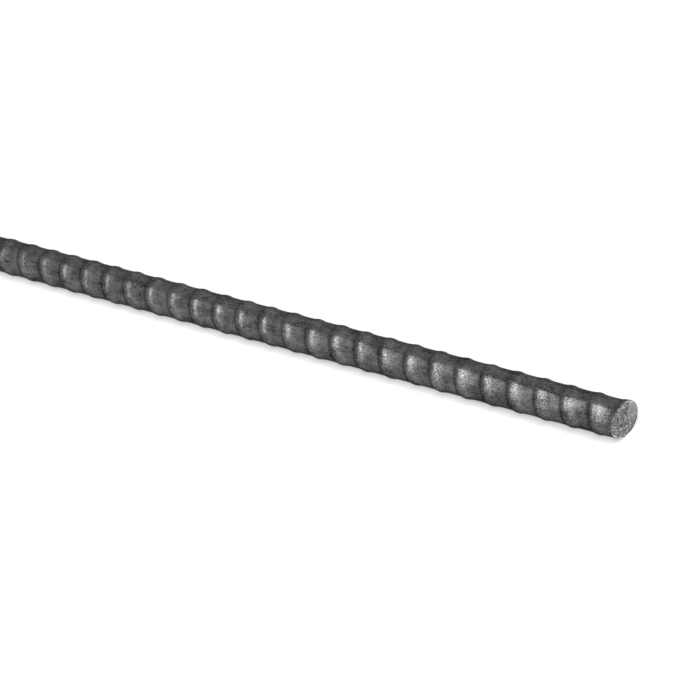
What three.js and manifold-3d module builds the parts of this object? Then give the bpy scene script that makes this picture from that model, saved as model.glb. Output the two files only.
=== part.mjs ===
// A deformed steel reinforcing bar, half-inch size, cut to a short stock length.
// It lies along X on one of its two rolled flats, with the flats facing up and down.
// The origin is under the middle of the bar, on the surface that it lies on. Units are millimetres.
import * as THREE from 'three';
import { mergeVertices } from 'three/addons/utils/BufferGeometryUtils.js';
import Module from 'manifold-3d';

// The bar as rolled.
const barLength = 609.6; // tip to tip, a two-foot cut length
const barDiameter = 12.7; // the plain round that weighs the same
const flatWidth = 3.5; // each flat, where the gap between the two rolls leaves the steel free
const arcFacets = 13; // facets round each rolled half

// The sheared ends. The blade enters on the side where the face reaches furthest.
const faceSlant = 22.5; // degrees that the face lies off square
const bladeTurn = -31; // degrees round the bar from +Y up to the side that the blade enters
const rollDepth = 0.4; // how far the blade draws the edge in where it enters
const rollLength = 1.2; // length of bar over which it does so
const rollSteps = 5;
const burrHeight = 0.35; // the lip that the blade leaves where it breaks out
const burrWidth = 0.6;

// How far the uncut bar runs past each tip, and the cutting shape past the uncut bar.
const overrun = 2;

const wasm = await Module();
wasm.setup();

const barRadius = barDiameter / 2;
const radians = THREE.MathUtils.degToRad;

// Height of a flat above the bar's centre line.
const flatHeight = Math.sqrt(barRadius ** 2 - (flatWidth / 2) ** 2);

// A closed geometry as a solid for cutting.
function toSolid(geometry) {
  geometry.deleteAttribute('normal');
  geometry.deleteAttribute('uv');
  const merged = mergeVertices(geometry, 1e-4);
  return new wasm.Manifold(new wasm.Mesh({
    numProp: 3,
    vertProperties: new Float32Array(merged.attributes.position.array),
    triVerts: new Uint32Array(merged.index.array),
  }));
}

function toGeometry(solid) {
  const { vertProperties, triVerts } = solid.getMesh();
  const geometry = new THREE.BufferGeometry();
  geometry.setAttribute('position', new THREE.BufferAttribute(vertProperties, 3));
  geometry.setIndex(new THREE.BufferAttribute(triVerts, 1));
  geometry.computeVertexNormals();
  return geometry;
}

// The rolled section: two round halves joined by the flats, run out along X.
function rolledLength() {
  const cornerAngle = Math.acos(flatHeight / barRadius);
  const section = new THREE.Shape();
  section.absarc(0, 0, barRadius, cornerAngle - Math.PI / 2, Math.PI / 2 - cornerAngle, false);
  section.absarc(0, 0, barRadius, cornerAngle + Math.PI / 2, 1.5 * Math.PI - cornerAngle, false);
  section.closePath();
  const blankLength = barLength + 2 * overrun;
  const blank = new THREE.ExtrudeGeometry(section, {
    depth: blankLength, bevelEnabled: false, curveSegments: arcFacets,
  });
  blank.translate(0, 0, -blankLength / 2);
  return blank.rotateY(Math.PI / 2).rotateX(Math.PI / 2);
}

// What the shear takes off the +X end. Its outline is drawn across the face, in the direction
// of the blade's travel: the drawn-in edge, the slanting face and the burr.
function shearCut() {
  const tip = barLength / 2;
  const entry = barRadius;
  const faceStart = entry - rollDepth;
  const faceEnd = -barRadius + burrWidth;
  const setBack = (faceStart - faceEnd) * Math.tan(radians(faceSlant));
  const burrSlope = burrHeight / burrWidth;

  const outline = new THREE.Shape();
  outline.moveTo(tip - rollLength, entry + overrun);
  outline.lineTo(tip - rollLength, entry);
  for (let i = 1; i <= rollSteps; i += 1) {
    const turn = (i / rollSteps) * (Math.PI / 2);
    outline.lineTo(
      tip - rollLength * (1 - Math.sin(turn)),
      entry - rollDepth * (1 - Math.cos(turn)),
    );
  }
  outline.lineTo(tip - setBack, faceEnd);
  outline.lineTo(tip - setBack + burrSlope * (burrWidth + overrun), faceEnd - burrWidth - overrun);
  outline.lineTo(tip + 2 * overrun, faceEnd - burrWidth - overrun);
  outline.lineTo(tip + 2 * overrun, entry + overrun);
  outline.closePath();

  const width = barDiameter + 2 * overrun;
  const cut = new THREE.ExtrudeGeometry(outline, { depth: width, bevelEnabled: false });
  return cut.translate(0, 0, -width / 2);
}

// Both ends come off the same shear, so the far face is the near one turned half round.
function shearedBar() {
  const nearCut = toSolid(shearCut().rotateX(radians(bladeTurn)));
  const farCut = toSolid(shearCut().rotateZ(Math.PI).rotateX(radians(bladeTurn)));
  return toSolid(rolledLength()).subtract(nearCut).subtract(farCut);
}

const millScale = new THREE.MeshStandardMaterial({ color: 0x5b5c5f, roughness: 0.48, metalness: 0.75 });

const rebar = new THREE.Mesh(toGeometry(shearedBar()), millScale);
rebar.name = 'rebar';
rebar.position.z = flatHeight;

const model = new THREE.Group();
model.add(rebar);

export default model;
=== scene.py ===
import math

import bpy
from mathutils import Matrix, Vector


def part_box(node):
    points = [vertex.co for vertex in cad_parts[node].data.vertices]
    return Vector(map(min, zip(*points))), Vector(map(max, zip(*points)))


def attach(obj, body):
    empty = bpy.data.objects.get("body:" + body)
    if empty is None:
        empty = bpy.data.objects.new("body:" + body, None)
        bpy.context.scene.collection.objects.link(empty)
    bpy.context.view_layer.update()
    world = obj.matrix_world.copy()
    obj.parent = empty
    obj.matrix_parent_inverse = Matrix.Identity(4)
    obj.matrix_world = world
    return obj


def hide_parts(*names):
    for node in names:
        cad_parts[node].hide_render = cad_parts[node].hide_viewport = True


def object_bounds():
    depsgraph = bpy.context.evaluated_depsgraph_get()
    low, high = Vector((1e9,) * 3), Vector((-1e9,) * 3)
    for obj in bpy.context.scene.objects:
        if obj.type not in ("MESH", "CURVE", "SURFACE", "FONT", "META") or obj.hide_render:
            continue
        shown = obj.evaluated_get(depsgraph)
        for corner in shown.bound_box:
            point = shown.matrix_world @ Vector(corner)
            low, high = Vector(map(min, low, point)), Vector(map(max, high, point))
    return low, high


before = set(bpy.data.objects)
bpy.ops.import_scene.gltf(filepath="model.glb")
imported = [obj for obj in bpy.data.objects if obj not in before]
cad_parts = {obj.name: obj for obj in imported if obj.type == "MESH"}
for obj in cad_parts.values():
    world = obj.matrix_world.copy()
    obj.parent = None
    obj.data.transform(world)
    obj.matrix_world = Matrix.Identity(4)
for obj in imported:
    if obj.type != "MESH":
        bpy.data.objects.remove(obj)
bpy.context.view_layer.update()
mm = 0.001

# The bar's core as it lies: its corners, and the height of its centre line.
barLow, barHigh = (Vector(corner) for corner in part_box("rebar"))
axisHeight = (barLow.z + barHigh.z) / 2


# Modelling helpers: everything is deselected first, because the frame comes in selected.

def pick(thing):
    for other in bpy.context.selected_objects:
        other.select_set(False)
    thing.select_set(True)
    bpy.context.view_layer.objects.active = thing


def startEdit(thing, mode="VERT"):
    pick(thing)
    bpy.ops.object.mode_set(mode="EDIT")
    bpy.ops.mesh.select_mode(type=mode)
    bpy.ops.mesh.select_all(action="DESELECT")


def endEdit():
    bpy.ops.object.mode_set(mode="OBJECT")


def selectWhere(thing, wanted, kind="vertices"):
    # selects the vertices or faces for which wanted(item) is true
    bpy.ops.mesh.select_all(action="DESELECT")
    bpy.ops.object.mode_set(mode="OBJECT")
    for item in getattr(thing.data, kind):
        item.select = bool(wanted(item))
    bpy.ops.object.mode_set(mode="EDIT")


def turn(axis, angle, centre):
    # the operator turns clockwise, so the angle changes sign
    bpy.ops.transform.rotate(value=-angle, orient_axis=axis, center_override=centre)


def turnAll(thing, axis, angle, centre):
    startEdit(thing)
    bpy.ops.mesh.select_all(action="SELECT")
    turn(axis, angle, centre)
    endEdit()


def cloud(size):
    texture = bpy.data.textures.new("cloud", "CLOUDS")
    texture.noise_scale = size
    texture.noise_depth = 2
    return texture


def applyModifier(thing, name, kind, **settings):
    pick(thing)
    modifier = thing.modifiers.new(name, kind)
    for key, value in settings.items():
        setattr(modifier, key, value)
    bpy.ops.object.modifier_apply(modifier=name)


def mark(thing, name, shares):
    # keeps a share for each vertex, by index, as an attribute that a material reads
    attributes = thing.data.attributes
    if name not in attributes:
        attributes.new(name, "FLOAT", "POINT")
    for index, share in shares.items():
        attributes[name].data[index].value = share


def onLine(stops, place):
    # the value at a place on a line through (place, value) stops
    for before, after in zip(stops, stops[1:]):
        if before[0] <= place <= after[0]:
            share = (place - before[0]) / (after[0] - before[0])
            return before[1] + share * (after[1] - before[1])
    return stops[0][1] if place < stops[0][0] else stops[-1][1]


def ease(value, start, end):
    # 0 before start and 1 past end, with a soft step between them
    share = min(1, max(0, (value - start) / (end - start)))
    return share * share * (3 - 2 * share)


# The bar. Lengths are metres, angles degrees. The rib profile gives the distance from the crest,
# towards the near end where it is positive, and the share of the rib's height that is left there.

bar = {
    "coreRadius": 6.17 * mm,
    "columns": 56,
    "flatColumns": 5,            # columns across each rolled flat
    "ribPitch": 8.9 * mm,
    "ribHeight": 0.43 * mm,      # midway between the flats
    "flatRibHeight": 0.31 * mm,  # over the flats
    "ribLean": 19.4,             # the ribs' plane, off square
    "ribProfile": [
        (-3.80 * mm, 0.0), (-2.85 * mm, 0.035), (-2.30 * mm, 0.09), (-1.90 * mm, 0.165),
        (-1.58 * mm, 0.27), (-1.30 * mm, 0.415), (-1.05 * mm, 0.59), (-0.80 * mm, 0.765),
        (-0.52 * mm, 0.91), (-0.22 * mm, 0.98), (0.06 * mm, 1.0), (0.32 * mm, 0.96),
        (0.56 * mm, 0.875), (0.82 * mm, 0.735), (1.10 * mm, 0.56), (1.40 * mm, 0.395),
        (1.74 * mm, 0.26), (2.16 * mm, 0.15), (2.68 * mm, 0.068), (3.36 * mm, 0.02),
        (4.20 * mm, 0.004), (5.10 * mm, 0.0),
    ],
    # where shade is painted along the foot of a rib's steep side: share by distance from the crest
    "ribFoot": [(-2.2 * mm, 0.0), (-1.4 * mm, 1.0), (-1.0 * mm, 1.0), (-0.3 * mm, 0.0)],
    "flatFoot": 0.35,            # how much of it lies across the flats
    # where a highlight is painted into the scale's colour, on each rib's side towards the near end
    "ribPaintedSheen": [(0.9 * mm, 0.0), (1.5 * mm, 1.0), (3.1 * mm, 1.0), (4.0 * mm, 0.0)],
    "lastCrest": 294.55 * mm,    # where the last whole rib crosses the bar's centre line
    "ribsBeyond": 2,             # pitches made past it, for the shear to cut
    "waviness": (9 * mm, 0.10 * mm),      # size of the texture, depth
    "ribShift": (14 * mm, 0.5 * mm),
    "mergeWithin": 0.12 * mm,
}


def makePitch():
    # one pitch of the bar about the origin, open at both sides
    profile = bar["ribProfile"]
    radius = bar["coreRadius"]
    columnAngle = math.radians(360 / bar["columns"])
    lean = math.radians(bar["ribLean"])
    bpy.ops.mesh.primitive_circle_add(
        vertices=bar["columns"], radius=radius, fill_type="NOTHING",
        location=(0, 0, 0), rotation=(0, math.pi / 2, 0))
    pitch = bpy.context.object
    pitch.name = "pitch"
    bpy.ops.object.transform_apply(location=True, rotation=True, scale=True)
    startEdit(pitch)
    # half a column round, so that the edges of the flats fall on vertices
    bpy.ops.mesh.select_all(action="SELECT")
    turn("X", columnAngle / 2, (0, 0, 0))
    halfFlat = columnAngle * bar["flatColumns"] / 2
    flatHeight = radius * math.cos(halfFlat)
    halfWidth = radius * math.sin(halfFlat)
    for side in (1, -1):
        selectWhere(pitch, lambda vert: vert.co.z * side > flatHeight)
        bpy.ops.transform.resize(value=(1, 1, 0), center_override=(0, 0, side * flatHeight))
    # the ring leans: turned about Y, then stretched so that the section stays round
    bpy.ops.mesh.select_all(action="SELECT")
    turn("Y", -lean, (0, 0, 0))
    stretch = 1 / math.cos(lean)
    bpy.ops.transform.resize(value=(stretch, 1, stretch), center_override=(0, 0, 0))
    bpy.ops.transform.translate(value=(profile[0][0], 0, 0))
    for before, after in zip(profile, profile[1:]):
        across, over = (
            (radius + after[1] * height) / (radius + before[1] * height)
            for height in (bar["ribHeight"], bar["flatRibHeight"]))
        bpy.ops.mesh.extrude_edges_move(
            TRANSFORM_OT_translate={"value": (after[0] - before[0], 0, 0)})
        bpy.ops.transform.resize(value=(1, across, over), center_override=(0, 0, 0))
    endEdit()
    # foot marks painted shade and rougher scale along each rib's steep foot; paintedSheen marks a
    # painted highlight on the rib's side towards the near end
    foot, paintedSheen = {}, {}
    pastFlat = 1.1 * halfWidth   # so that the edges of the flats count as flat
    for index, point in enumerate(pitch.data.vertices):
        fromCrest = point.co.x + point.co.z * math.tan(lean)
        onFlat = abs(point.co.y) < pastFlat
        foot[index] = onLine(bar["ribFoot"], fromCrest) * (bar["flatFoot"] if onFlat else 1)
        paintedSheen[index] = onLine(bar["ribPaintedSheen"], fromCrest)
    mark(pitch, "foot", foot)
    mark(pitch, "paintedSheen", paintedSheen)
    return pitch


def makeBar():
    piece = makePitch()
    first = bar["lastCrest"] + bar["ribsBeyond"] * bar["ribPitch"]
    count = math.ceil((first - barLow.x) / bar["ribPitch"]) + 1
    applyModifier(
        piece, "ribs", "ARRAY", count=count, use_relative_offset=False, use_constant_offset=True,
        constant_offset_displace=(-bar["ribPitch"], 0, 0), use_merge_vertices=True,
        merge_threshold=bar["mergeWithin"])
    piece.location = (first, 0, axisHeight)
    bpy.ops.object.transform_apply(location=True, rotation=True, scale=True)
    piece.name = "rebar_bar"
    piece.data.materials.append(millScale())
    piece.data.materials.append(brokenSteel())
    for (size, depth), direction in ((bar["waviness"], "NORMAL"), (bar["ribShift"], "X")):
        applyModifier(
            piece, "rolling", "DISPLACE", texture=cloud(size), texture_coords="LOCAL",
            direction=direction, strength=depth, mid_level=0.5)
    print("bar: ribs", count, "faces", len(piece.data.polygons))
    # both ends are sheared as the near one, with the blade's path along Y
    middle = (0, 0, axisHeight)
    bladeTurn = math.radians(shear["bladeTurn"])
    turnAll(piece, "X", -bladeTurn, middle)
    shearEnd(piece)
    turnAll(piece, "Z", math.pi, middle)
    shearEnd(piece)
    turnAll(piece, "Z", -math.pi, middle)
    turnAll(piece, "X", bladeTurn, middle)
    startEdit(piece)
    bpy.ops.mesh.select_all(action="SELECT")
    bpy.ops.mesh.normals_make_consistent(inside=False)
    endEdit()
    bpy.ops.object.shade_smooth()
    print("bar: triangles", sum(len(face.vertices) - 2 for face in piece.data.polygons))
    return piece


# The sheared ends. The blade comes in on the +Y side, draws that edge in, and breaks the bar off
# on the other side, where a burr stands up. Places on the cut face are measured from its middle:
# up it towards the edge that the blade enters, and across it along Z. A pair of places is where
# a zone starts and where it is full.

shear = {
    "faceSlant": 22.5,
    "bladeTurn": -31.0,
    "rollDepth": 0.4 * mm,
    "rollLength": 1.2 * mm,
    "rollSteps": [0.02, 0.06, 0.14, 0.27, 0.50, 1.0],   # share of the depth, step by step
    "flare": 0.22 * mm,          # how far the crushed end stands out all round
    "burrWidth": 0.40 * mm,
    "burrHeight": 0.40 * mm,
    "faceSink": 0.3,             # how far the face sinks inside the burr, as a share of its height
    "ringSink": 0.5,             # and how deep the point lies that the rings draw in to
    "rings": 22,
    "ringShare": 0.92,
    "cutWithin": 0.002 * mm,
    # the blade's smoother track, up the face and across it
    "trackUp": (0.35 * mm, 1.15 * mm),
    "trackAcross": (-0.3 * mm, 2.1 * mm),
    # a fold runs where the track ends, and a lip beyond the fold
    "foldUp": 0.75 * mm,
    "foldAcross": (0.5 * mm, 2.5 * mm),
    "foldWidth": 0.85 * mm,
    "foldDepth": 0.5 * mm,
    "lipUp": 1.70 * mm,
    "lipAcross": (4.0 * mm, 5.0 * mm),
    "lipWidth": 0.35 * mm,
    # the rim, as shares of the radius: where the face's grain ends and the rim's colour starts
    "grainEnd": (0.86, 0.96),
    "rim": (0.90, 0.96),
    "rimBrightEnd": (1 * mm, 4 * mm),     # up the face, the burr's painted highlight gives way
    "rimShadeUp": (0, 3 * mm),             # to painted shade on the rim, which lies on the -Z side
    "rimShadeAcross": (-1 * mm, 2 * mm),
    "break": (1.1 * mm, 0.6 * mm),        # size of the texture, depth
    "grain": (0.5 * mm, 0.35 * mm),
    "ragged": (1.2 * mm, 0.8 * mm),
    "trackBreak": 0.8,           # how much of the break and the grain the track wipes off
    "trackGrain": 0.7,
    "raggedLeast": 0.35,         # how ragged the rim is away from the track
}


def findFace():
    # the middle of the near cut face, on the bar's centre line
    reach = (barHigh.y - shear["rollDepth"]) * math.tan(math.radians(shear["faceSlant"]))
    return Vector((barHigh.x - reach, 0, axisHeight))


def isCut(face):
    return face.material_index == 1 and face.center.x > 0


def shearEnd(piece):
    slant = math.radians(shear["faceSlant"])
    outward = Vector((math.cos(slant), -math.sin(slant), 0))
    uphill = Vector((math.sin(slant), math.cos(slant), 0))
    centre = findFace()
    radius = bar["coreRadius"]
    burrSide = centre - uphill * radius / math.cos(slant)
    startEdit(piece, "FACE")
    bpy.ops.mesh.select_all(action="SELECT")
    setBack = Vector((shear["rollLength"], 0, 0))
    bpy.ops.mesh.bisect(
        plane_co=centre - setBack, plane_no=outward, use_fill=True,
        clear_outer=True, clear_inner=False, threshold=shear["cutWithin"])
    # the face that fills the cut is the only one with many sides
    selectWhere(piece, lambda face: len(face.vertices) > 8, "polygons")
    steps = shear["rollSteps"]
    left = 2 * radius
    for index, share in enumerate(steps):
        drawnIn = shear["rollDepth"] * (share - (steps[index - 1] if index else 0))
        move = shear["rollLength"] / len(steps)
        bpy.ops.mesh.extrude_region_move(TRANSFORM_OT_translate={"value": (move, 0, 0)})
        smaller = (left - drawnIn) / left
        left -= drawnIn
        back = shear["rollLength"] * (1 - (index + 1) / len(steps))
        bpy.ops.transform.resize(
            value=(smaller, smaller, smaller),
            center_override=burrSide - Vector((back, 0, 0)))
        wider = 1 + shear["flare"] / radius / len(steps)
        bpy.ops.transform.resize(value=(1, wider, wider), center_override=centre)
    piece.active_material_index = 1
    bpy.ops.object.material_slot_assign()
    bpy.ops.mesh.inset(thickness=shear["burrWidth"], depth=0)
    bpy.ops.transform.translate(value=outward * -shear["faceSink"] * shear["burrHeight"])
    turn("Z", -shear["burrHeight"] / (2 * radius), centre + uphill * radius)
    inner = centre - outward * shear["ringSink"] * shear["burrHeight"]
    smaller = shear["ringShare"]
    for _ in range(shear["rings"]):
        bpy.ops.mesh.extrude_region_move()
        bpy.ops.transform.resize(value=(smaller, smaller, smaller), center_override=inner)
    bpy.ops.mesh.poke()
    selectWhere(piece, isCut, "polygons")
    bpy.ops.mesh.subdivide(number_cuts=1)
    bpy.ops.mesh.region_to_loop()
    bpy.ops.mesh.mark_sharp()
    endEdit()
    roughen(piece, centre, uphill)


def roughen(piece, centre, uphill):
    # the break is coarse, the blade's track smoother, and the drawn-in edge ragged
    zones = {name: piece.vertex_groups.new(name=name) for name in ("break", "grain", "ragged")}
    marks = {"burr": {}, "track": {}, "fold": {}}
    onFace = set()
    for face in filter(isCut, piece.data.polygons):
        onFace.update(face.vertices)
    for index in onFace:
        away = piece.data.vertices[index].co - centre
        up = away.dot(uphill)
        across = away.z
        fromMiddle = math.hypot(away.y, away.z) / bar["coreRadius"]
        inside = 1 - ease(fromMiddle, *shear["grainEnd"])
        rim = ease(fromMiddle, *shear["rim"])
        track = ease(up, *shear["trackUp"]) * ease(across, *shear["trackAcross"])
        fold = (1 - ease(abs(up - shear["foldUp"]), 0, shear["foldWidth"])) * ease(
            across, *shear["foldAcross"]) * inside
        lip = (1 - ease(abs(up - shear["lipUp"]), 0, shear["lipWidth"])) * ease(
            across, *shear["lipAcross"])
        # painted shade on the rim's -Z side, where it faces away from the light
        rimShade = rim * ease(up, *shear["rimShadeUp"]) * (
            1 - ease(across, *shear["rimShadeAcross"]))
        raggedShare = shear["raggedLeast"] + (1 - shear["raggedLeast"]) * track
        zones["break"].add([index], inside * (1 - shear["trackBreak"] * track), "REPLACE")
        zones["grain"].add([index], inside * (1 - shear["trackGrain"] * track), "REPLACE")
        zones["ragged"].add([index], (1 - inside) * raggedShare, "REPLACE")
        # the burr and the lip get a painted highlight; the fold and the rim's -Z side get painted
        # shade
        marks["burr"][index] = max(rim * (1 - ease(up, *shear["rimBrightEnd"])), lip)
        marks["track"][index] = track
        marks["fold"][index] = max(fold, rimShade)
        piece.data.vertices[index].co.x -= fold * shear["foldDepth"]
    for name in zones:
        size, depth = shear[name]
        applyModifier(
            piece, name, "DISPLACE", texture=cloud(size), texture_coords="LOCAL", direction="X",
            strength=depth, mid_level=0.5, vertex_group=name)
    piece.vertex_groups.clear()
    for name, shares in marks.items():
        mark(piece, name, shares)
    print("end: vertices on the cut face", len(onFace))


# Shader maths as plain expressions: a Value wraps one socket.

class Value:
    def __init__(self, paint, socket):
        self.paint = paint
        self.socket = socket

    def combine(self, operation, *others):
        return self.paint.node("ShaderNodeMath", {"operation": operation}, [self, *others])

    def __add__(self, other):
        return self.combine("ADD", other)

    def __radd__(self, other):
        return self.combine("ADD", other)

    def __sub__(self, other):
        return self.combine("SUBTRACT", other)

    def __rsub__(self, other):
        return self.paint.node("ShaderNodeMath", {"operation": "SUBTRACT"}, [other, self])

    def __mul__(self, other):
        return self.combine("MULTIPLY", other)

    def __rmul__(self, other):
        return self.combine("MULTIPLY", other)


class Paint:
    def __init__(self, name):
        self.material = bpy.data.materials.new(name)
        self.material.use_nodes = True
        self.tree = self.material.node_tree
        self.tree.nodes.clear()

    def node(self, kind, settings=None, inputs=None, output=0):
        # settings are the node's own; inputs go by name or, as a list, by place
        made = self.tree.nodes.new(kind)
        for key, value in (settings or {}).items():
            setattr(made, key, value)
        pairs = inputs.items() if isinstance(inputs, dict) else enumerate(inputs or [])
        for key, value in pairs:
            if isinstance(value, Value):
                self.tree.links.new(value.socket, made.inputs[key])
            else:
                made.inputs[key].default_value = value
        return Value(self, made.outputs[output]) if made.outputs else None

    def noise(self, where, size, detail):
        return self.node("ShaderNodeTexNoise", {}, {
            "Vector": where, "Scale": size, "Detail": detail})

    def attribute(self, name):
        return self.node("ShaderNodeAttribute", {"attribute_name": name}, output="Fac")

    def finish(self, surface):
        self.node("ShaderNodeOutputMaterial", {}, {"Surface": surface})
        return self.material


def grey(level):
    return (level, level, level, 1)


# The mill scale. A noise is given by its scale and detail, and its bump by strength and depth.
scale = {
    "colour": 0.094,
    "metallic": 0.55,
    "specular": 0.02,
    "edge": 0.05,                # how much of the glancing reflection is left
    "roughness": 0.27,
    "mottle": (240.0, 4.0),
    "dents": (650.0, 2.0),
    "streaks": (1500.0, 2.0),
    "grain": (2300.0, 2.0),
    "streakStretch": 0.12,       # the streaks' noise is drawn out along the bar
    "dentBump": (0.8, 0.07 * mm),
    "streakBump": (0.6, 0.02 * mm),
    "grainBump": (0.9, 0.04 * mm),
    "mottleLight": 1.9,          # how much each noise lightens the colour
    "streakLight": 1.0,
    # the grain lightens the colour strongly: the scale's own grain, and painted sparkle of tiny
    # facets too
    "grainLight": 3.4,
    "lightOffset": 2.15,         # taken off, so that the colour is right on average
    "leastLight": 0.1,
    "mottleRough": 0.24,         # how much it roughens the surface, or polishes it
    "grainPolish": 0.20,
    "footRough": 0.15,
    "footPaintedShade": 0.5,             # painted shade at the foot of a rib
    "paintedSheenLight": 0.3,            # painted highlight on a rib's side towards the near end
}


def millScale():
    # the foot attribute is 1 where shade is painted along a rib's steep foot, and paintedSheen
    # where a highlight is painted on its other side
    paint = Paint("mill_scale")
    place = paint.node("ShaderNodeTexCoord", output="Object")
    drawn = paint.node("ShaderNodeMapping", {}, {
        "Vector": place, "Scale": (scale["streakStretch"], 1.0, 1.0)})
    foot = paint.attribute("foot")
    paintedSheen = paint.attribute("paintedSheen")
    mottle = paint.noise(place, *scale["mottle"])
    dents = paint.noise(place, *scale["dents"])
    streaks = paint.noise(drawn, *scale["streaks"])
    grain = paint.noise(place, *scale["grain"])
    bump = None
    for height, (strength, depth) in (
            (dents, scale["dentBump"]), (streaks, scale["streakBump"]),
            (grain, scale["grainBump"])):
        inputs = {"Strength": strength, "Distance": depth, "Height": height}
        if bump:
            inputs["Normal"] = bump
        bump = paint.node("ShaderNodeBump", {}, inputs)
    light = (
        scale["mottleLight"] * mottle + scale["streakLight"] * streaks
        + scale["grainLight"] * grain - scale["lightOffset"])
    # painted shade at each rib's foot and a painted highlight on its side towards the near end
    # change the scale's colour
    level = (
        scale["colour"] * (1 - scale["footPaintedShade"] * foot) * (1 + scale["paintedSheenLight"] * paintedSheen)
        * light.combine("MAXIMUM", scale["leastLight"]))
    roughness = (
        scale["roughness"] + scale["mottleRough"] * mottle - scale["grainPolish"] * grain
        + scale["footRough"] * foot)
    colour = paint.node("ShaderNodeCombineColor", {}, [level, level, level])
    surface = paint.node("ShaderNodeBsdfPrincipled", {}, {
        "Base Color": colour, "Metallic": scale["metallic"],
        "Specular IOR Level": scale["specular"], "Specular Tint": grey(scale["edge"]),
        "Roughness": roughness, "Normal": bump})
    return paint.finish(surface)


# The steel of the cut face: light fresh steel, with its grains painted bright at random as painted
# glints of the break.
freshSteel = {
    "dark": 0.055,
    "light": 0.68,
    "track": 0.30,
    "metallic": 0.5,
    "roughness": 0.42,
    "grain": (2200.0, 1.0),      # noise scale, detail
    "patches": (700.0, 2.0),
    "grainShare": 0.75,          # of the brightness; the patches give the rest
    "brightFrom": 0.38,          # noise that is dark, and noise that is bright
    "brightTo": 0.64,
    "trackLeast": 0.6,           # the track's colour by patches
    "trackPatches": 0.8,
    "trackCover": 0.75,
    # the burr is lighter as burnished steel, and brighter still as a painted highlight
    "burrBurnishAndHighlight": 0.5,
    "burrLeast": 0.3,            # how bright the burr stays between the grains
    # painted shade in the fold and along the rim's -Z side
    "foldShade": 0.6,
    "bump": (1.0, 0.12 * mm),    # strength, depth
    "trackFlat": 0.6,
    "polish": 0.12,              # how much smoother the track and the burr are
}


def brokenSteel():
    # three attributes say where the burr, the blade's track and the fold are
    paint = Paint("broken_steel")
    place = paint.node("ShaderNodeTexCoord", output="Object")
    burr, track, fold = (paint.attribute(name) for name in ("burr", "track", "fold"))
    grain = paint.noise(place, *freshSteel["grain"])
    patches = paint.noise(place, *freshSteel["patches"])
    bright = paint.node("ShaderNodeMapRange", {}, {
        "Value": freshSteel["grainShare"] * grain + (1 - freshSteel["grainShare"]) * patches,
        "From Min": freshSteel["brightFrom"], "From Max": freshSteel["brightTo"]})
    broken = freshSteel["dark"] + (freshSteel["light"] - freshSteel["dark"]) * bright * bright
    scored = freshSteel["track"] * (
        freshSteel["trackLeast"] + freshSteel["trackPatches"] * patches)
    burred = freshSteel["burrLeast"] + (1 - freshSteel["burrLeast"]) * bright
    level = broken + (scored - broken) * freshSteel["trackCover"] * track
    # the burr's painted highlight lightens the colour, and painted shade darkens it in the fold
    # and on the rim's -Z side
    level = (level + burred * freshSteel["burrBurnishAndHighlight"] * burr) * (
        1 - freshSteel["foldShade"] * fold)
    colour = paint.node("ShaderNodeCombineColor", {}, [level, level, level])
    strength, depth = freshSteel["bump"]
    bump = paint.node("ShaderNodeBump", {}, {
        "Strength": strength, "Distance": depth,
        "Height": grain * (1 - freshSteel["trackFlat"] * track)})
    polished = track.combine("MAXIMUM", burr)
    surface = paint.node("ShaderNodeBsdfPrincipled", {}, {
        "Base Color": colour, "Metallic": freshSteel["metallic"],
        "Roughness": freshSteel["roughness"] - freshSteel["polish"] * polished,
        "Normal": bump})
    return paint.finish(surface)


# Floor, lights and camera. The floor shows as white, also in the steel, and lights it little.

stage = {
    "floorColour": 0.55,
    "floorGlow": 0.38,
    "floorShade": 0.03,          # its colour for the light that it passes on
    "world": 0.06,
    "floorSize": 30.0,
    "lampAim": (0.2, 0, 0),
}


def makeFloor():
    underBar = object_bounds()[0].z
    bpy.ops.mesh.primitive_plane_add(size=stage["floorSize"], location=(0, 0, underBar))
    floor = bpy.context.object
    floor.name = "floor"
    paint = Paint("floor_paint")
    camera, glossy, through = (
        paint.node("ShaderNodeLightPath", output=name)
        for name in ("Is Camera Ray", "Is Glossy Ray", "Is Transmission Ray"))
    shown = camera.combine("MAXIMUM", glossy).combine("MAXIMUM", through)
    pale = paint.node("ShaderNodeBsdfDiffuse", {}, {"Color": grey(stage["floorColour"])})
    dark = paint.node("ShaderNodeBsdfDiffuse", {}, {"Color": grey(stage["floorShade"])})
    glow = paint.node("ShaderNodeEmission", {}, {"Color": grey(1), "Strength": stage["floorGlow"]})
    bright = paint.node("ShaderNodeAddShader", {}, [pale, glow])
    surface = paint.node("ShaderNodeMixShader", {}, [shown, dark, bright])
    floor.data.materials.append(paint.finish(surface))


# aside is degrees along the bar towards its near end, and height degrees round the bar, 0 in
# front of it and 90 above it; half is half the lamp's width and height, in degrees too
lamps = {
    "front": {"aside": 4, "height": 25, "half": (12, 26), "away": 8.0, "glow": 4.3},
    "top": {"aside": 4, "height": 71, "half": (12, 22), "away": 8.0, "glow": 9.6},
    "fill": {"aside": -28, "height": 44, "half": (30, 33), "away": 8.0, "glow": 0.55},
    "back": {"aside": 0, "height": 135, "half": (35, 25), "away": 8.0, "glow": 0.24},
    "low": {"aside": 32, "height": 158, "half": (26, 16), "away": 8.0, "glow": 1.6},
}


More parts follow.
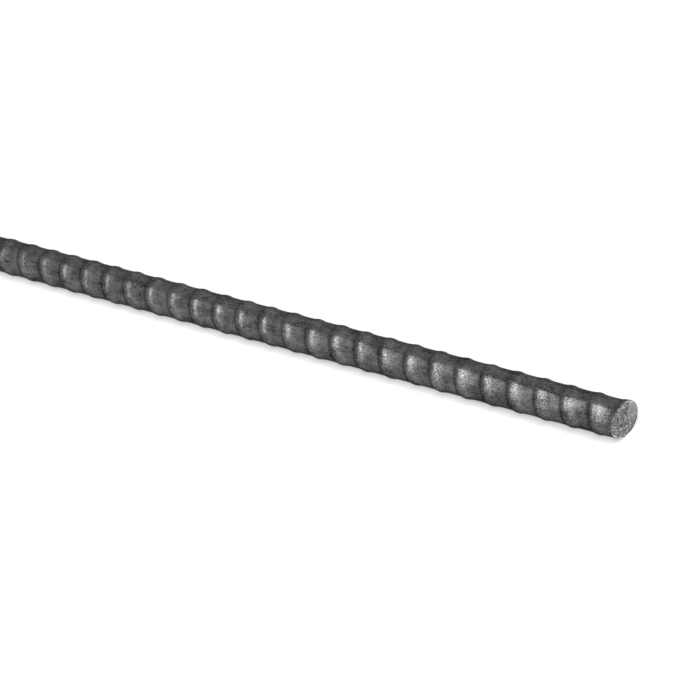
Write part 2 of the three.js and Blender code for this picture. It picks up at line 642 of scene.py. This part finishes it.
def makeLamps():
    aim = Vector(stage["lampAim"])
    for name, lamp in lamps.items():
        aside, height = math.radians(lamp["aside"]), math.radians(lamp["height"])
        towards = Vector((
            math.sin(aside), -math.cos(aside) * math.cos(height),
            math.cos(aside) * math.sin(height)))
        bpy.ops.object.light_add(type="AREA", location=aim + towards * lamp["away"])
        light = bpy.context.object
        light.name = name
        light.data.shape = "RECTANGLE"
        light.data.size, light.data.size_y = (
            2 * lamp["away"] * math.tan(math.radians(half)) for half in lamp["half"])
        light.data.energy = lamp["glow"] * math.pi * light.data.size * light.data.size_y
        along = (Vector((1, 0, 0)) - towards * towards.x).normalized()
        turned = Matrix((along, towards.cross(along), towards)).transposed()
        light.rotation_mode = "QUATERNION"
        light.rotation_quaternion = turned.to_quaternion()
    world = bpy.data.worlds.new("room")
    bpy.context.scene.world = world
    world.use_nodes = True
    world.node_tree.nodes["Background"].inputs["Strength"].default_value = stage["world"]
    world.node_tree.nodes["Background"].inputs["Color"].default_value = grey(1)
    print("lamps:", len(lamps))


# The picture is 700 pixels square. The points are pixels in it.
view = {
    "frame": 700,
    "focal": 1500,
    "barRunsTo": (-3500.0, -678.0),   # where the bar's direction vanishes
    "faceCentre": (624.5, 420.2),
    "distance": 474.7 * mm,
    "flatFacing": 42.5,               # degrees from the side that faces the camera up to the flat
    "sensor": 36,                     # millimetres
    "seenFrom": 0.01,
    "seenTo": 20,
}


def makeCamera():
    half = view["frame"] / 2

    def ray(pixel):
        return Vector((pixel[0] - half, half - pixel[1], -view["focal"])).normalized()

    alongBar = ray(view["barRunsTo"])
    toFace = ray(view["faceCentre"]) * view["distance"]
    facing = -(toFace - alongBar * toFace.dot(alongBar)).normalized()
    above = alongBar.cross(facing)
    if above.y < 0:
        above = -above
    flatFacing = math.radians(view["flatFacing"])
    xAxis = -alongBar
    zAxis = facing * math.cos(flatFacing) + above * math.sin(flatFacing)
    yAxis = zAxis.cross(xAxis)
    turned = Matrix((xAxis, yAxis, zAxis))   # camera space to the bar's frame
    place = findFace() - turned @ toFace
    bpy.ops.object.camera_add(location=place)
    camera = bpy.context.object
    camera.rotation_mode = "QUATERNION"
    camera.rotation_quaternion = turned.to_quaternion()
    camera.data.sensor_width = view["sensor"]
    camera.data.lens = view["sensor"] * view["focal"] / view["frame"]
    camera.data.clip_start = view["seenFrom"]
    camera.data.clip_end = view["seenTo"]
    bpy.context.scene.camera = camera
    print("camera at", [round(v, 4) for v in place])


makeCamera()

rebar = makeBar()
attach(rebar, "root")
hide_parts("rebar")

makeFloor()
makeLamps()
bpy.context.scene.view_settings.view_transform = "Standard"
